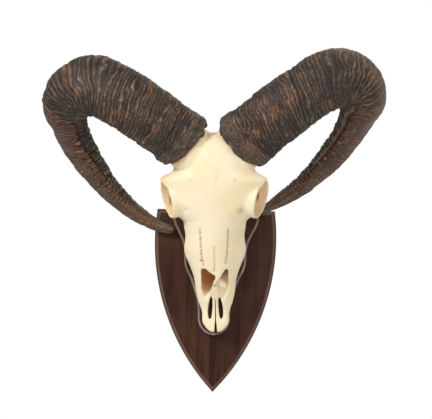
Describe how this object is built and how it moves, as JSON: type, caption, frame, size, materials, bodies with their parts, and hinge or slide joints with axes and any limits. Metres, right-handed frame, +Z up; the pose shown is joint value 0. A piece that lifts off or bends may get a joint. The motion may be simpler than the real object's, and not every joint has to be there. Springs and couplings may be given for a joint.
{
  "type": "ram skull with horns on a wall shield",
  "caption": "Skull of a horned ram with its teeth, mounted face out on a raised jaw-shaped wooden block on a pointed wooden wall shield.",
  "frame": {"origin": "middle of the shield's flat back face, on the wall plane", "axes": "+Z up along the wall, +Y into the wall, so the skull faces -Y and the ram's left side is at +X"},
  "size_m": [0.4349, 0.1946, 0.4474],
  "materials": {
    "stained_wood": "dark stained, thin satin varnish",
    "bone": "bleached bone, matt to satin",
    "horn": "ringed horn, dry, matt to satin",
    "hanger_steel": "zinc plated"
  },
  "bodies": {
    "root": {"shield": "stained_wood", "jaw_block": "stained_wood", "hanger_plate": "hanger_steel", "skull": "bone", "horn_left": "horn", "horn_right": "horn"}
  },
  "joints": []
}
